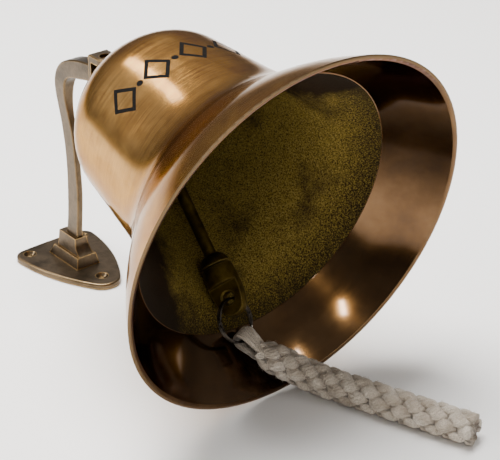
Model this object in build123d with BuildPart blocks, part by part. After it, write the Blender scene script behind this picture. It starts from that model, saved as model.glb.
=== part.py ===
"""Wall-mounted ship's bell: swan-neck bracket, hinge pin, cast bell, clapper, split ring and lanyard.

Frame: the wall plate's underside is Z = 0, the post stands on the origin, +X runs towards the
bell's mouth and +Z points away from the wall. The bell is stored lying down, with its lip resting
in the plane of the wall plate.
"""
from build123d import *
from math import acos, asin, atan2, cos, degrees, radians, sin, sqrt, tan
import os

os.makedirs("parts", exist_ok=True)

# ---------------------------------------------------------------- driving dimensions (mm, degrees)
lip_diameter = 250.0        # mouth of the bell, over the lip
bell_height = 189.2         # lip plane to crown
waist_top_radius = 61.0     # outside, where the shoulder begins
waist_low_radius = 67.7     # outside, where the flare begins
wall = 5.4                  # waist wall, measured across the axis
lip_face = 3.4              # width of the lip's face
crown_wall = 5.5

plate_thickness = 4.0
screw_hole_diameter = 5.2
countersink_diameter = 9.0
front_screw_x = 35.0
rear_screw_x = -23.5
rear_screw_spacing = 45.0

arm_thickness = 4.8         # across the post, along Y
fork_width = 15.2
fork_height = 21.3
slot_height = 11.0
pin_x = 51.2                # hinge pin's axis
pin_z = 165.1               # middle of the fork
pin_diameter = 5.0
running_clearance = 0.05    # radial

tongue_width = 11.0
tongue_thickness = 5.0
tongue_play = 1.0           # radial room round the pin, which lets the bell tilt
crown_offset = 14.0         # pin axis to crown, along the bell's axis

stud_diameter = 8.0
clapper_length = 146.0      # pivot to tail hole
clapper_rest_gap = 1.074    # between the resting bob and straight chords of the bell's wall
clapper_roll = -8.0         # the clapper's plane, turned about the bell's axis
rod_diameter = 8.0
bob_diameter = 21.0
tail_thickness = 8.0
tail_hole_diameter = 8.0

ring_mean_radius = 14.0
ring_wire = 1.6
ring_droop = 18.0           # how far the ring hangs back from the clapper's line

lanyard_diameter = 20.0

engraving_depth = 0.8

# ---------------------------------------------------------------- derived places
lip_radius = lip_diameter / 2
axis_length = bell_height + crown_offset          # pin to lip plane
# The lip touches Z = 0: pin_z = lip_radius * cos(t) + axis_length * sin(t).
reach = sqrt(lip_radius**2 + axis_length**2)
rest_tilt = degrees(asin(pin_z / reach) - atan2(lip_radius, axis_length))

pin_centre = Vector(pin_x, 0, pin_z)
nose_down = radians(rest_tilt)
axis_dir = Vector(cos(nose_down), 0, -sin(nose_down))       # crown to mouth
up_dir = Vector(sin(nose_down), 0, cos(nose_down))
side_dir = Vector(0, 1, 0)


def on_axis(distance):
    """Point on the bell's axis, measured from the hinge pin towards the mouth."""
    return pin_centre + axis_dir * distance


# Profiles are drawn with local x along the bell's axis from the pin, and local y outwards.
profile_plane = Plane(origin=pin_centre, x_dir=axis_dir, z_dir=Vector(0, -1, 0))
bell_axis = Axis(pin_centre, axis_dir)


def from_lip(depth, radius):
    """Profile point by its depth behind the lip plane and its radius."""
    return (axis_length - depth, radius)


# ---------------------------------------------------------------- wall plate and its pedestal
step_top = plate_thickness + 8.0
collar_top = 24.0
collar_half_width = 4.9
post_back = -4.6
post_front = 9.0
socket_floor = 6.0

with BuildPart() as wall_plate:
    with BuildSketch():
        with BuildLine():
            rear_left = (rear_screw_x - 7.6, -32.5)
            rear_right = (rear_screw_x - 7.6, 32.5)
            tip = (front_screw_x + 22.0, 0)
            ThreePointArc(rear_left, (17, -24.0), tip)
            ThreePointArc(tip, (17, 24.0), rear_right)
            ThreePointArc(rear_right, (rear_screw_x - 9.2, 0), rear_left)
        make_face()
        corners = vertices().sort_by(Axis.X)
        fillet(corners[:2], 9.0)
        fillet(vertices().sort_by(Axis.X)[-1], 13.0)
    extrude(amount=plate_thickness)
    fillet(faces().sort_by(Axis.Z)[-1].edges(), 1.6)
    # Pedestal: a sloped step and a collar, shaped by the overlap of a side and a front outline.
    with BuildPart(mode=Mode.PRIVATE) as side_outline:
        with BuildSketch(Plane.XZ):
            with BuildLine():
                Polyline((18.5, plate_thickness - 1), (16.7, step_top))
                ThreePointArc((16.7, step_top), (12.0, 16.5), (10.2, collar_top))
                Polyline(
                    (10.2, collar_top),
                    (-10.0, collar_top),
                    (-10.4, step_top),
                    (-12.6, step_top),
                    (-18.5, plate_thickness - 1),
                    (18.5, plate_thickness - 1),
                )
            make_face()
        extrude(amount=20, both=True)
    with BuildPart(mode=Mode.PRIVATE) as front_outline:
        with BuildSketch(Plane.YZ):
            with BuildLine():
                Polyline(
                    (0, plate_thickness - 1),
                    (9.7, plate_thickness - 1),
                    (7.8, step_top),
                    (6.2, step_top),
                    (collar_half_width, collar_top),
                    (0, collar_top),
                )
                mirror(about=Plane.YZ)
            make_face()
        extrude(amount=40, both=True)
    add(side_outline.part & front_outline.part)
    with BuildSketch(Plane.XY.offset(collar_top)):
        with Locations(((post_back + post_front) / 2, 0)):
            Rectangle(post_front - post_back, arm_thickness)
    extrude(amount=socket_floor - collar_top, mode=Mode.SUBTRACT)
    screw_places = [
        (front_screw_x, 0, plate_thickness),
        (rear_screw_x, -rear_screw_spacing / 2, plate_thickness),
        (rear_screw_x, rear_screw_spacing / 2, plate_thickness),
    ]
    with Locations(*screw_places):
        CounterSinkHole(screw_hole_diameter / 2, countersink_diameter / 2, depth=plate_thickness)

# ---------------------------------------------------------------- bracket arm, with its fork
fork_back = pin_x - 10.0
fork_nose = fork_width / 2
fork_low = pin_z - fork_height / 2
fork_top = pin_z + fork_height / 2
crook_half_width = 5.6

with BuildPart() as bracket_arm:
    with BuildSketch(Plane.XZ):
        with BuildLine():
            Line((post_back, socket_floor), (post_back, collar_top))
            Spline(
                (post_back, collar_top),
                (-0.8, 55),
                (-1.0, 90),
                (-6.2, 123),
                (-6.6, 140),
                (1.2, 155),
                (19, 164),
                (fork_back + 2, fork_top - 8.0),
                tangents=[(0.25, 1), (1, 0.1)],
            )
            Line((fork_back + 2, fork_top - 8.0), (fork_back + 2, fork_low + 0.5))
            Spline(
                (fork_back + 2, fork_low + 0.5),
                (22, 151),
                (9.0, 146),
                (4.2, 132),
                (8.2, 108),
                (11.8, 74),
                (post_front, collar_top),
                tangents=[(-1, -0.05), (-0.12, -1)],
            )
            Polyline((post_front, collar_top), (post_front, socket_floor), (post_back, socket_floor))
        make_face()
    extrude(amount=fork_width / 2, both=True)
    with BuildPart(mode=Mode.PRIVATE) as arm_front_outline:
        with BuildSketch(Plane.YZ):
            with BuildLine():
                Line((0, socket_floor), (arm_thickness / 2, socket_floor))
                Line((arm_thickness / 2, socket_floor), (arm_thickness / 2, 105))
                Spline(
                    (arm_thickness / 2, 105),
                    (crook_half_width, 160),
                    tangents=[(0, 1), (0, 1)],
                )
                Polyline((crook_half_width, 160), (crook_half_width, 175), (0, 175))
                mirror(about=Plane.YZ)
            make_face()
        extrude(amount=60, both=True)
    add(arm_front_outline.part, mode=Mode.INTERSECT)
    arm_rims = edges().filter_by(lambda e: e.center().Z > collar_top + 5)
    arm_rims = arm_rims.filter_by(lambda e: abs(e.center().Y) > 1 and e.length > 40)
    fillet(arm_rims, 1.1)
    # Fork block: square behind, rounded about the pin in front.
    with BuildSketch(Plane.XY.offset(fork_low)):
        with Locations(((fork_back + pin_x) / 2, 0)):
            Rectangle(pin_x - fork_back, fork_width)
        with Locations((pin_x, 0)):
            Circle(fork_nose)
    extrude(amount=fork_height)
    fork_rims = faces().filter_by(Axis.Z).sort_by(Axis.Z)[-1].edges()
    chamfer(fork_rims, 0.8)
    with BuildSketch(Plane.XZ.offset(-fork_width)):
        with Locations((pin_x + 1.8, pin_z)):
            Rectangle(18.0, slot_height)
    extrude(amount=2 * fork_width, mode=Mode.SUBTRACT)
    head_recess = 4.0
    with Locations((pin_x, 0, fork_top)):
        CounterBoreHole(
            pin_diameter / 2 + running_clearance,
            4.4,
            head_recess,
            depth=fork_height,
        )

# ---------------------------------------------------------------- hinge pin and its clip
clip_thickness = 0.9
clip_groove_radius = pin_diameter / 2 - 0.6
pin_end = fork_low - 3.4
clip_top = fork_low - 0.6

with BuildPart() as hinge_pin:
    with BuildSketch(Plane.XY.offset(pin_end)):
        with Locations((pin_x, 0)):
            Circle(pin_diameter / 2)
    extrude(amount=fork_top - head_recess + 0.1 - pin_end)
    with BuildSketch(Plane.XY.offset(fork_top - head_recess + 0.05)):
        with Locations((pin_x, 0)):
            Circle(4.4 - 0.1)
    extrude(amount=1.6)
    with BuildSketch(Plane.XY.offset(clip_top - clip_thickness)):
        with Locations((pin_x, 0)):
            Circle(pin_diameter / 2 + 1)
            Circle(clip_groove_radius, mode=Mode.SUBTRACT)
    extrude(amount=clip_thickness, mode=Mode.SUBTRACT)
    chamfer(faces().sort_by(Axis.Z)[0].edges(), 0.5)
    chamfer(faces().sort_by(Axis.Z)[-1].edges(), 0.4)

with BuildPart() as pin_clip:
    with BuildSketch(Plane.XY.offset(clip_top - clip_thickness)):
        with Locations((pin_x, 0)):
            Circle(pin_diameter / 2 + 2.2)
            Circle(clip_groove_radius, mode=Mode.SUBTRACT)
            with Locations((5, 0)):
                Rectangle(10, 2.6, mode=Mode.SUBTRACT)
    extrude(amount=clip_thickness)

# ---------------------------------------------------------------- bell shell
waist_low = 96.0        # depth behind the lip plane, where the straight waist begins
waist_top = 142.0       # and where it ends
polished_depth = 35.2   # inside, machined from the lip to here
waist_slope = (waist_top_radius - waist_low_radius) / (waist_top - waist_low)
crown_radius = 20.0
groove_depths = (54.2, 57.6)
groove_radius = 0.8


def flare_radius(depth):
    """Outside radius near the two moulding grooves."""
    return lip_radius - 42.8 - 0.79 * (depth - 55.8)


with BuildPart() as bell_shell:
    with BuildSketch(profile_plane):
        with BuildLine():
            Spline(
                from_lip(0.6, lip_radius),
                from_lip(19.5, lip_radius - 11.9),
                from_lip(38.9, lip_radius - 27.5),
                from_lip(62.3, lip_radius - 46.7),
                from_lip(waist_low, waist_low_radius),
                tangents=[(-1, -0.58), (-1, waist_slope)],
            )
            Line(from_lip(waist_low, waist_low_radius), from_lip(waist_top, waist_top_radius))
            Spline(
                from_lip(waist_top, waist_top_radius),
                from_lip(160.5, waist_top_radius - 7.0),
                from_lip(177.0, waist_top_radius - 22.0),
                from_lip(bell_height, crown_radius),
                tangents=[(-1, waist_slope), (-0.35, -1)],
            )
            Line(from_lip(bell_height, crown_radius), from_lip(bell_height, 0))
            Line(from_lip(bell_height, 0), from_lip(bell_height - crown_wall, 0))
            Line(
                from_lip(bell_height - crown_wall, 0),
                from_lip(bell_height - crown_wall, crown_radius - 5.5),
            )
            Spline(
                from_lip(bell_height - crown_wall, crown_radius - 5.5),
                from_lip(173.0, waist_top_radius - 26.5),
                from_lip(158.5, waist_top_radius - 12.4),
                from_lip(waist_top, waist_top_radius - wall),
                tangents=[(0.35, 1), (1, -waist_slope)],
            )
            Line(
                from_lip(waist_top, waist_top_radius - wall),
                from_lip(waist_low, waist_low_radius - wall),
            )
            Spline(
                from_lip(waist_low, waist_low_radius - wall),
                from_lip(62.3, lip_radius - 52.2),
                from_lip(polished_depth, lip_radius - 31.9),
                tangents=[(1, -waist_slope), (1, 0.80)],
            )
            Line(
                from_lip(polished_depth, lip_radius - 31.9),
                from_lip(polished_depth, lip_radius - 31.3),
            )
            Spline(
                from_lip(polished_depth, lip_radius - 31.3),
                from_lip(19.5, lip_radius - 17.4),
                from_lip(0.6, lip_radius - lip_face - 0.5),
                tangents=[(1, 0.84), (1, 0.62)],
            )
            ThreePointArc(
                from_lip(0.6, lip_radius - lip_face - 0.5),
                from_lip(0, lip_radius - lip_face / 2),
                from_lip(0.6, lip_radius),
            )
        make_face()
    revolve(axis=bell_axis)
    for depth in groove_depths:
        with BuildSketch(profile_plane):
            with Locations(from_lip(depth, flare_radius(depth))):
                Circle(groove_radius)
        revolve(axis=bell_axis, mode=Mode.SUBTRACT)
    # Hole in the crown for the hanger's stud.
    with BuildSketch(Plane(origin=on_axis(crown_offset - 1), x_dir=up_dir, z_dir=axis_dir)):
        Circle(stud_diameter / 2 + 0.15)
    extrude(amount=crown_wall + 3, mode=Mode.SUBTRACT)

# ---------------------------------------------------------------- engraved band of lozenges and dots
band_depth = 120.0          # behind the lip plane
lozenge_half_height = 13.5
lozenge_half_width = 10.5
stroke = 2.6
lozenge_angles = (-49, -24.5, 0, 24.5, 49)
dot_angles = (-36.7, -12.2, 12.2, 36.7)


def waist_radius(depth):
    return waist_low_radius + waist_slope * (depth - waist_low)


def waist_plane(angle):
    """Plane just outside the waist, turned about the bell's axis from straight up."""
    outward = up_dir * cos(radians(angle)) + side_dir * sin(radians(angle))
    centre = on_axis(axis_length - band_depth) + outward * (waist_radius(band_depth) + 3)
    return Plane(origin=centre, x_dir=axis_dir, z_dir=outward)


with BuildPart() as engraving_cutter:
    for angle in lozenge_angles:
        with BuildSketch(waist_plane(angle)):
            Polygon(
                (lozenge_half_height, 0),
                (0, lozenge_half_width),
                (-lozenge_half_height, 0),
                (0, -lozenge_half_width),
            )
            offset(amount=-stroke, kind=Kind.INTERSECTION, mode=Mode.SUBTRACT)
        extrude(amount=-9)
    for angle in dot_angles:
        with BuildSketch(waist_plane(angle)):
            Circle(2.3)
        extrude(amount=-9)

with BuildPart() as waist_skin:
    with BuildSketch(profile_plane):
        with BuildLine():
            Polyline(
                from_lip(waist_low + 2, waist_radius(waist_low + 2)),
                from_lip(waist_top - 2, waist_radius(waist_top - 2)),
                from_lip(waist_top - 2, waist_radius(waist_top - 2) - engraving_depth),
                from_lip(waist_low + 2, waist_radius(waist_low + 2) - engraving_depth),
                close=True,
            )
        make_face()
    revolve(axis=bell_axis)

with BuildPart() as engraving_enamel:
    add(waist_skin.part & engraving_cutter.part)

with bell_shell:
    add(engraving_enamel.part, mode=Mode.SUBTRACT)

# ---------------------------------------------------------------- hanger: tongue, flange and stud
flange_radius = 12.0
flange_thickness = 2.5
washer_thickness = 2.0
nut_thickness = 6.0
crown_inside = crown_offset + crown_wall
stud_end = crown_inside + washer_thickness + nut_thickness - 1.0

with BuildPart() as crown_hanger:
    with BuildSketch(Plane(origin=pin_centre, x_dir=axis_dir, z_dir=up_dir)):
        with Locations((crown_offset / 2, 0)):
            Rectangle(crown_offset, tongue_width)
        Circle(tongue_width / 2)
    extrude(amount=tongue_thickness / 2, both=True)
    with BuildSketch(Plane(origin=on_axis(crown_offset), x_dir=up_dir, z_dir=axis_dir)):
        Circle(flange_radius)
    extrude(amount=-flange_thickness)
    fillet(edges().filter_by(GeomType.CIRCLE).sort_by(SortBy.RADIUS)[-2:], 0.8)
    with BuildSketch(Plane(origin=on_axis(crown_offset - 1), x_dir=up_dir, z_dir=axis_dir)):
        Circle(stud_diameter / 2)
    extrude(amount=stud_end - crown_offset + 1)
    with BuildSketch(Plane(origin=pin_centre, x_dir=axis_dir, z_dir=up_dir)):
        Circle(pin_diameter / 2 + tongue_play)
    extrude(amount=tongue_thickness, both=True, mode=Mode.SUBTRACT)

with BuildPart() as crown_washer:
    with BuildSketch(Plane(origin=on_axis(crown_inside), x_dir=up_dir, z_dir=axis_dir)):
        Circle(11.0)
        Circle(stud_diameter / 2 + 0.2, mode=Mode.SUBTRACT)
    extrude(amount=washer_thickness)

# ---------------------------------------------------------------- clapper frame
eye_hole_radius = 4.2
eye_outer_radius = 8.0
eye_thickness = 5.0
pivot_distance = crown_inside + washer_thickness + nut_thickness + 7.5
tail_end = clapper_length + 12.0

inner_wall = (              # (depth behind the lip plane, inside radius), deepest first
    (waist_top, waist_top_radius - wall),
    (waist_low, waist_low_radius - wall),
    (62.3, lip_radius - 52.2),
    (polished_depth, lip_radius - 31.9),
    (0.6, lip_radius - lip_face - 0.5),
)
bob_outline = (             # (distance from the pivot, radius) where the bob can touch
    (clapper_length - 15.0, bob_diameter / 2),
    (clapper_length, bob_diameter / 2 - 0.5),
    (tail_end - 4.5, bob_diameter / 2 - 2.6),
)


def wall_radius(depth):
    """Inside radius at a depth, along straight chords between the profile's points."""
    for (deeper, inner), (shallower, outer) in zip(inner_wall, inner_wall[1:]):
        if depth > shallower:
            break
    return inner + (outer - inner) * (deeper - depth) / (deeper - shallower)


def bob_gap(angle):
    """Smallest radial gap between the bob and the wall with the clapper at an angle."""
    lean = radians(angle)
    gaps = []
    for distance, radius in bob_outline:
        forward = pivot_distance + distance * cos(lean) - radius * sin(lean)
        outward = distance * sin(lean) + radius * cos(lean)
        gaps.append(wall_radius(axis_length - forward) - outward)
    return min(gaps)


# The clapper leans off the bell's axis until its bob lies on the wall.
low_angle, high_angle = 0.0, 45.0
for _ in range(50):
    clapper_angle = (low_angle + high_angle) / 2
    if bob_gap(clapper_angle) > clapper_rest_gap:
        low_angle = clapper_angle
    else:
        high_angle = clapper_angle

roll = radians(clapper_roll)
swing = radians(clapper_angle)
down_dir = side_dir * sin(roll) - up_dir * cos(roll)
clapper_dir = axis_dir * cos(swing) + down_dir * sin(swing)
clapper_up = axis_dir * sin(swing) - down_dir * cos(swing)
hinge_dir = axis_dir.cross(down_dir)
pivot = on_axis(pivot_distance)


def along_clapper(distance):
    """Point on the clapper's line, measured from its pivot."""
    return pivot + clapper_dir * distance


# ---------------------------------------------------------------- eye nut that holds the clapper
with BuildPart() as eye_nut:
    nut_face = on_axis(crown_inside + washer_thickness)
    with BuildSketch(Plane(origin=nut_face, x_dir=down_dir, z_dir=axis_dir)):
        RegularPolygon(8.6, 6)
    extrude(amount=nut_thickness)
    with BuildSketch(Plane(origin=pivot, x_dir=axis_dir, z_dir=hinge_dir)):
        Circle(eye_outer_radius)
        with Locations((-4.5, 0)):
            Rectangle(6.5, 2 * eye_outer_radius - 2)
        Circle(eye_hole_radius, mode=Mode.SUBTRACT)
    extrude(amount=eye_thickness / 2, both=True)
    with BuildSketch(Plane(origin=nut_face, x_dir=down_dir, z_dir=axis_dir)):
        Circle(stud_diameter / 2)
    extrude(amount=stud_end - crown_inside - washer_thickness, mode=Mode.SUBTRACT)

# ---------------------------------------------------------------- clapper rod, with its hook eye
hook_radius = 7.0
hook_wire = 5.0
bob_start = clapper_length - 30.0
rod_socket_depth = 14.0

with BuildPart() as clapper_rod:
    hook_centre = along_clapper(hook_radius)
    hook_plane = Plane(origin=hook_centre, x_dir=clapper_dir, z_dir=clapper_dir.cross(hinge_dir))
    with BuildSketch(Plane(origin=pivot, x_dir=clapper_dir, z_dir=hinge_dir)):
        Circle(hook_wire / 2)
    revolve(axis=Axis(hook_centre, hook_plane.z_dir))
    with BuildSketch(Plane(origin=along_clapper(2 * hook_radius - 1), z_dir=clapper_dir)):
        Circle(rod_diameter / 2)
    extrude(amount=bob_start + rod_socket_depth - 2 * hook_radius + 1)

# ---------------------------------------------------------------- clapper bob and drilled tail
hole_lean = radians(60.0)       # tail hole's axis, turned from clapper_up towards -Y
level_dir = hinge_dir if hinge_dir.Y < 0 else hinge_dir * -1
hole_dir = clapper_up * cos(hole_lean) + level_dir * sin(hole_lean)

with BuildPart() as clapper_bob:
    bob_plane = Plane(origin=pivot, x_dir=clapper_dir, z_dir=hole_dir)
    with BuildSketch(bob_plane):
        with BuildLine():
            Line((bob_start, 0), (bob_start, bob_diameter / 2 - 5.0))
            Spline(
                (bob_start, bob_diameter / 2 - 5.0),
                (bob_start + 2.6, bob_diameter / 2 - 2.2),
                (bob_start + 7.0, bob_diameter / 2 - 0.9),
                tangents=[(0.4, 1), (1, 0.1)],
            )
            Polyline(
                (bob_start + 7.0, bob_diameter / 2 - 0.9),
                (bob_start + 7.7, bob_diameter / 2 - 1.7),
                (bob_start + 8.6, bob_diameter / 2 - 0.5),
            )
            Spline(
                (bob_start + 8.6, bob_diameter / 2 - 0.5),
                (clapper_length - 15.0, bob_diameter / 2),
                (clapper_length, bob_diameter / 2 - 0.5),
                (tail_end - 4.5, bob_diameter / 2 - 2.6),
                tangents=[(1, 0.15), (1, -0.4)],
            )
            ThreePointArc(
                (tail_end - 4.5, bob_diameter / 2 - 2.6),
                (tail_end - 1.2, bob_diameter / 2 - 5.8),
                (tail_end, 0),
            )
            Line((tail_end, 0), (bob_start, 0))
        make_face()
    revolve(axis=Axis(pivot, clapper_dir))
    # Two flats leave a tongue for the ring.
    flat_start = clapper_length - 9.5
    with BuildSketch(Plane(origin=along_clapper(flat_start), x_dir=hole_dir, z_dir=clapper_dir)):
        with Locations((tail_thickness / 2 + 10, 0), (-tail_thickness / 2 - 10, 0)):
            Rectangle(20, 40)
    extrude(amount=30, mode=Mode.SUBTRACT)
    with BuildSketch(Plane(origin=along_clapper(clapper_length), x_dir=clapper_dir, z_dir=hole_dir)):
        Circle(tail_hole_diameter / 2)
    extrude(amount=20, both=True, mode=Mode.SUBTRACT)
    hole_rims = edges().filter_by(GeomType.CIRCLE)
    hole_rims = hole_rims.filter_by(lambda e: abs(e.radius - tail_hole_diameter / 2) < 0.01)
    chamfer(hole_rims, 1.0)
    with BuildSketch(Plane(origin=along_clapper(bob_start), z_dir=clapper_dir)):
        Circle(rod_diameter / 2)
    extrude(amount=rod_socket_depth, mode=Mode.SUBTRACT)

# ---------------------------------------------------------------- split ring
ring_lean = radians(82.0)       # the ring's wire in the hole, turned from clapper_up towards -Y
ring_tangent = clapper_up * cos(ring_lean) + level_dir * sin(ring_lean)
ring_out = clapper_dir.rotate(Axis((0, 0, 0), ring_tangent), -ring_droop)
tail_hole = along_clapper(clapper_length)
ring_centre = tail_hole + ring_out * ring_mean_radius
ring_normal = ring_out.cross(ring_tangent)

with BuildPart() as split_ring:
    with BuildSketch(Plane(origin=tail_hole, x_dir=ring_normal, z_dir=ring_tangent)):
        SlotOverall(2 * ring_wire, ring_wire)
    revolve(axis=Axis(ring_centre, ring_normal))

# ---------------------------------------------------------------- lanyard
lanyard_route = [
    (214.5, -6.0, 31.9),
    (221.0, 2.8, 24.9),
    (229.1, 11.3, 18.9),
    (238.3, 18.6, 14.5),
    (248.6, 25.0, 11.7),
    (260.0, 30.5, 10.3),
    (279.0, 37.6, 10.2),
    (312.0, 49.4, 10.2),
    (342.5, 60.9, 10.2),
]


def bend_radii(points):
    """Largest tangent arc at each inner point: 0.45 of the shorter run."""
    radii = []
    for before, here, after in zip(points, points[1:], points[2:]):
        run_in = Vector(here) - Vector(before)
        run_out = Vector(after) - Vector(here)
        turn = radians(run_in.get_angle(run_out))
        radii.append(0.45 * min(run_in.length, run_out.length) / tan(turn / 2))
    return radii


lanyard_radii = bend_radii(lanyard_route)

with BuildPart() as lanyard:
    with BuildLine() as lanyard_path:
        FilletPolyline(*lanyard_route, radius=lanyard_radii)
    lanyard_line = lanyard_path.wires()[0]
    with BuildSketch(Plane(origin=lanyard_line @ 0, z_dir=lanyard_line % 0)):
        Circle(lanyard_diameter / 2)
    sweep(path=lanyard_line)

# Becket: the flat loop of cord at the lanyard's head. It goes round the split ring a little way
# along from the ring's far side, square to the wire there.
becket_place = radians(24.0)
becket_gap = 2.6            # inside radius of the loop's bow
becket_thickness = 4.4
becket_width = 10.0
wire_place = ring_centre + (
    ring_out * cos(becket_place) - ring_tangent * sin(becket_place)
) * ring_mean_radius
wire_dir = ring_out * -sin(becket_place) - ring_tangent * cos(becket_place)
lanyard_head = Vector(*lanyard_route[0])
to_head = lanyard_head - wire_place
leg_dir = (to_head - wire_dir * to_head.dot(wire_dir)).normalized()
across_dir = wire_dir.cross(leg_dir)
bow_radius = becket_gap + becket_thickness / 2
leg_length = to_head.length + 6
bow_left = wire_place + across_dir * bow_radius
bow_right = wire_place - across_dir * bow_radius

with BuildPart() as lanyard_becket:
    with BuildLine() as becket_path:
        Line(bow_left + leg_dir * leg_length, bow_left)
        ThreePointArc(bow_left, wire_place - leg_dir * bow_radius, bow_right)
        Line(bow_right, bow_right + leg_dir * leg_length)
    leg_end = Plane(origin=bow_left + leg_dir * leg_length, x_dir=wire_dir, z_dir=leg_dir * -1)
    with BuildSketch(leg_end):
        SlotOverall(becket_width, becket_thickness)
    sweep(path=becket_path.wires()[0])
    head_plane = Plane(origin=lanyard_head, z_dir=lanyard_line % 0)
    split(bisect_by=head_plane, keep=Keep.BOTTOM)

# ---------------------------------------------------------------- labels and files
pieces = {
    "wall_plate": wall_plate,
    "bracket_arm": bracket_arm,
    "hinge_pin": hinge_pin,
    "pin_clip": pin_clip,
    "bell_shell": bell_shell,
    "engraving_enamel": engraving_enamel,
    "crown_hanger": crown_hanger,
    "crown_washer": crown_washer,
    "eye_nut": eye_nut,
    "clapper_rod": clapper_rod,
    "clapper_bob": clapper_bob,
    "split_ring": split_ring,
    "lanyard_becket": lanyard_becket,
    "lanyard": lanyard,
}
for name, piece in pieces.items():
    piece.part.label = name
    export_step(piece.part, f"parts/{name}.step")

tube_volume = lanyard_line.length * 3.14159265 * (lanyard_diameter / 2) ** 2
print("rest tilt", round(rest_tilt, 3))
print("lanyard length", round(lanyard_line.length, 1))
print("lanyard radii", [round(r, 1) for r in lanyard_radii])
print("lanyard volume ratio", round(lanyard.part.volume / tube_volume, 4))
print("becket on the wire at", wire_place)
for name, direction in (
    ("axis", axis_dir),
    ("up", up_dir),
    ("hinge", hinge_dir),
    ("clapper", clapper_dir),
    ("ring tangent", ring_tangent),
    ("ring out", ring_out),
    ("hole", hole_dir),
):
    print(name, [round(v, 5) for v in direction])
print("pivot", pivot, "tail hole", tail_hole)
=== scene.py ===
# %% [markdown]
# # A ship's bell on a swan-neck wall bracket
# This lesson dresses a finished CAD model of a brass ship's bell in Blender. The bell lies as it
# does on a table before it is put up: the wall plate flat, the lip touching the table, and the
# braided bell pull trailing out of the mouth. The CAD parts give every size and every joint.
# Blender adds the camera, the light, the metals, the split ring's two turns and the plaited cord.

import math
import random

import bpy
from mathutils import Matrix, Vector


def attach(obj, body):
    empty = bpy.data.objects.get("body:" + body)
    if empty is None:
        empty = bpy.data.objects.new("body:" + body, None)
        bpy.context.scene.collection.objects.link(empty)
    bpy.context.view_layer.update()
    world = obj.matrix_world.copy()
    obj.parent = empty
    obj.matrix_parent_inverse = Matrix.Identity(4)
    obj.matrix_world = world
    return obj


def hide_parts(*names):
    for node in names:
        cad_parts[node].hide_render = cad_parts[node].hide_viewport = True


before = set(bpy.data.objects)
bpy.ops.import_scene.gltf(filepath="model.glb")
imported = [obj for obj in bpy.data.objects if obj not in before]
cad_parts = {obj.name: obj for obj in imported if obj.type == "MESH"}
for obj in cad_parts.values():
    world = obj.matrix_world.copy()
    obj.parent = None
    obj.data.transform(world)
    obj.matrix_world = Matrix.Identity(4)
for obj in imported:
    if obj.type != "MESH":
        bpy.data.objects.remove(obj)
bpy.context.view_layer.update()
print("nodes:", sorted(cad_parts))

# %% [markdown]
# Sizes are written in millimetres, as on a drawing, and Blender works in metres. One small
# function turns a drawing point into a Blender vector.

# %% Millimetres to metres
MM = 0.001


def at_mm(x, y, z):
    return Vector((x, y, z)) * MM


# %% [markdown]
# The camera comes first, because every later choice is judged through it. A long lens from nearly
# a metre and a half away, above the mouth and to its right, keeps the round mouth from
# stretching. The camera's own axes are built from its heading and how far it looks down, so
# that it has no roll.

# %% Camera
heading = math.radians(38.87)
look_down = math.radians(27.96)
right = Vector((math.sin(heading), math.cos(heading), 0))
level = Vector((-math.cos(heading), math.sin(heading), 0))
ahead = level * math.cos(look_down) - Vector((0, 0, math.sin(look_down)))
camera_up = level * math.sin(look_down) + Vector((0, 0, math.cos(look_down)))

lens = bpy.data.cameras.new("bell_camera")
lens.lens = 129.6
lens.sensor_width = 36.0
camera = bpy.data.objects.new("bell_camera", lens)
turn = Matrix((right, camera_up, -ahead)).transposed().to_4x4()
camera.matrix_world = Matrix.Translation(at_mm(961.47, -612.73, 627.21)) @ turn
bpy.context.scene.collection.objects.link(camera)
bpy.context.scene.camera = camera
print("camera at", [round(v, 3) for v in camera.location])

# %% [markdown]
# ## The bell's own axes
# The bell tips nose-down by twelve degrees, so patterns that run round it need its own axes.
# Turning and scratching a bell leaves marks that circle its axis, and the casting skin stops at
# a set depth inside the mouth. All of that is easy to write once a point is known by its
# distance along the axis, its radius and its angle.

# %% The bell's axes
pin = at_mm(51.2, 0, 165.1)
nose_down = math.radians(12.194)
pin_turned = Matrix.Rotation(-nose_down, 4, "Y") @ pin
pin_to_lip = 203.2 * MM
pin_to_flare = 167.95 * MM      # where the casting skin ends and the polished flare begins
print("the lip plane is", round(pin_to_lip / MM, 1), "mm from the hinge pin, along the axis")

# %% [markdown]
# ## Helpers for materials
# Colours are picked as hex values, the way a colour chart gives them. Blender's shaders work in
# linear light, so one function converts them. A second function adds a node, sets it up and
# links it in one call, which keeps each material readable.

# %% Colour and node helpers


def hex_colour(code):
    channels = [int(code[i : i + 2], 16) / 255 for i in (0, 2, 4)]
    linear = [c / 12.92 if c <= 0.04045 else ((c + 0.055) / 1.055) ** 2.4 for c in channels]
    return (*linear, 1.0)


def add_node(tree, kind, inputs=None, out=0, stops=(), **settings):
    """Add a node and return one of its outputs, or the node itself where out is None.

    `inputs` maps a socket to a value, a hex colour or another node's output. `stops` are the
    (position, hex colour) pairs of a colour ramp. Anything else is one of the node's settings.
    """
    node = tree.nodes.new(kind)
    for name, value in settings.items():
        setattr(node, name, value)
    for socket, value in (inputs or {}).items():
        if isinstance(value, bpy.types.NodeSocket):
            tree.links.new(value, node.inputs[socket])
        else:
            plain = hex_colour(value) if isinstance(value, str) else value
            node.inputs[socket].default_value = plain
    for i, (position, code) in enumerate(stops):
        points = node.color_ramp.elements
        point = points[i] if i < 2 else points.new(position)
        point.position, point.color = position, hex_colour(code)
    return node if out is None else node.outputs[out]


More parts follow.
